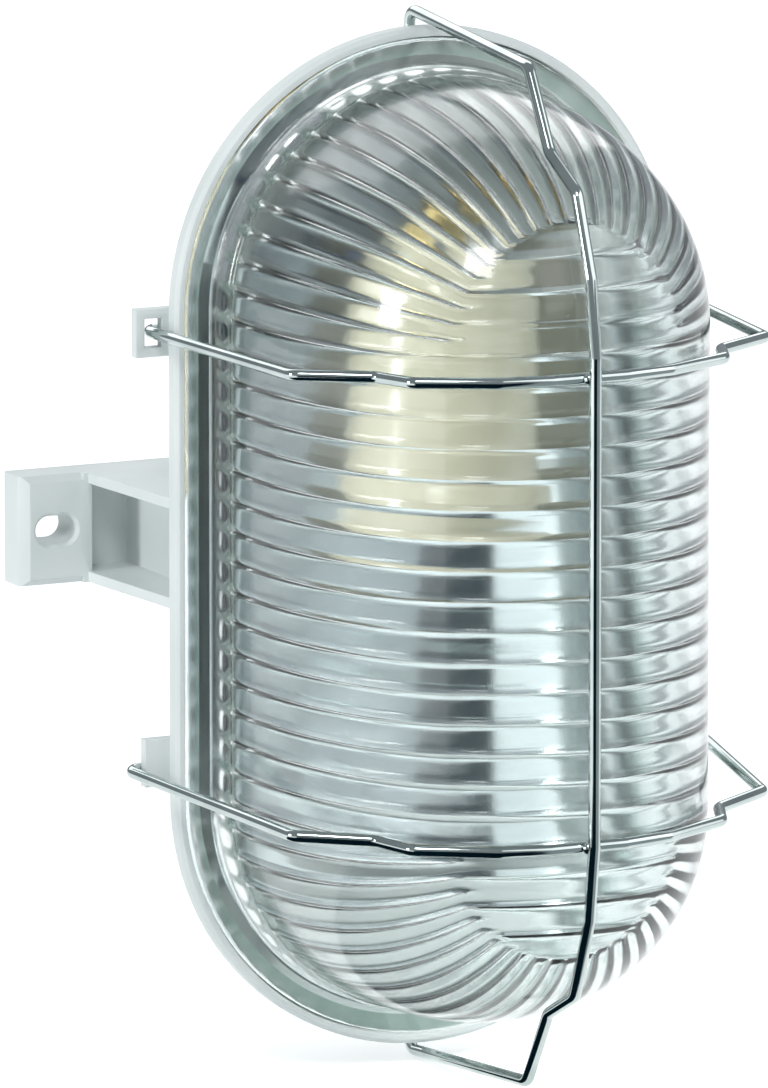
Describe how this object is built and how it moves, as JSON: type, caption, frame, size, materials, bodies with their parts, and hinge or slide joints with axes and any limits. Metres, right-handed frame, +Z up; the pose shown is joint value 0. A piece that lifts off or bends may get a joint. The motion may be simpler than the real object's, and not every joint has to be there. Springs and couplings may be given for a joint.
{
  "type": "oval bulkhead light",
  "caption": "Oval wall bulkhead light: grey moulded base with side fixing ears, clear reeded glass dome, sprung wire guard, screw lampholder and folded reflector inside.",
  "frame": {"origin": "centre of the flat back face, midway between the two fixing slots, on the wall plane", "axes": "+X to the right seen from the front, +Y into the wall, +Z up"},
  "size_m": [0.1466, 0.1309, 0.2206],
  "materials": {
    "grey_plastic": "fine satin moulding",
    "seal": "foam",
    "black_rubber": "matt",
    "bright_aluminium": "polished",
    "zinc_steel": "zinc plated",
    "cream_plastic": "gloss",
    "ceramic": "glazed",
    "brass": "bright",
    "white_plastic": "satin",
    "brown_lead": "satin",
    "blue_lead": "satin",
    "clear_glass": "pressed, clear",
    "chrome": "bright plated wire"
  },
  "bodies": {
    "base": {"base_housing": "grey_plastic", "base_gasket": "seal", "cable_grommet": "black_rubber", "reflector": "bright_aluminium", "reflector_screws": "zinc_steel", "lampholder_bracket": "zinc_steel", "bracket_screws": "zinc_steel", "lampholder_skirt": "cream_plastic", "lampholder_cap": "cream_plastic", "lampholder_insert": "ceramic", "screw_shell": "brass", "centre_contact": "brass", "holder_terminal_screws": "brass", "holder_nipple": "brass", "nipple_nut": "brass", "terminal_block": "white_plastic", "terminal_sleeves": "brass", "terminal_screws": "zinc_steel", "terminal_block_screw": "zinc_steel", "line_wire": "brown_lead", "neutral_wire": "blue_lead"},
    "cover": {"glass_cover": "clear_glass", "guard_wire_vertical": "chrome", "guard_wire_upper": "chrome", "guard_wire_lower": "chrome"}
  },
  "joints": [
    {"name": "cover_lift", "type": "slide", "parent": "base", "child": "cover", "axis": [0, -1, 0], "range_m": [0, 0.12]}
  ]
}
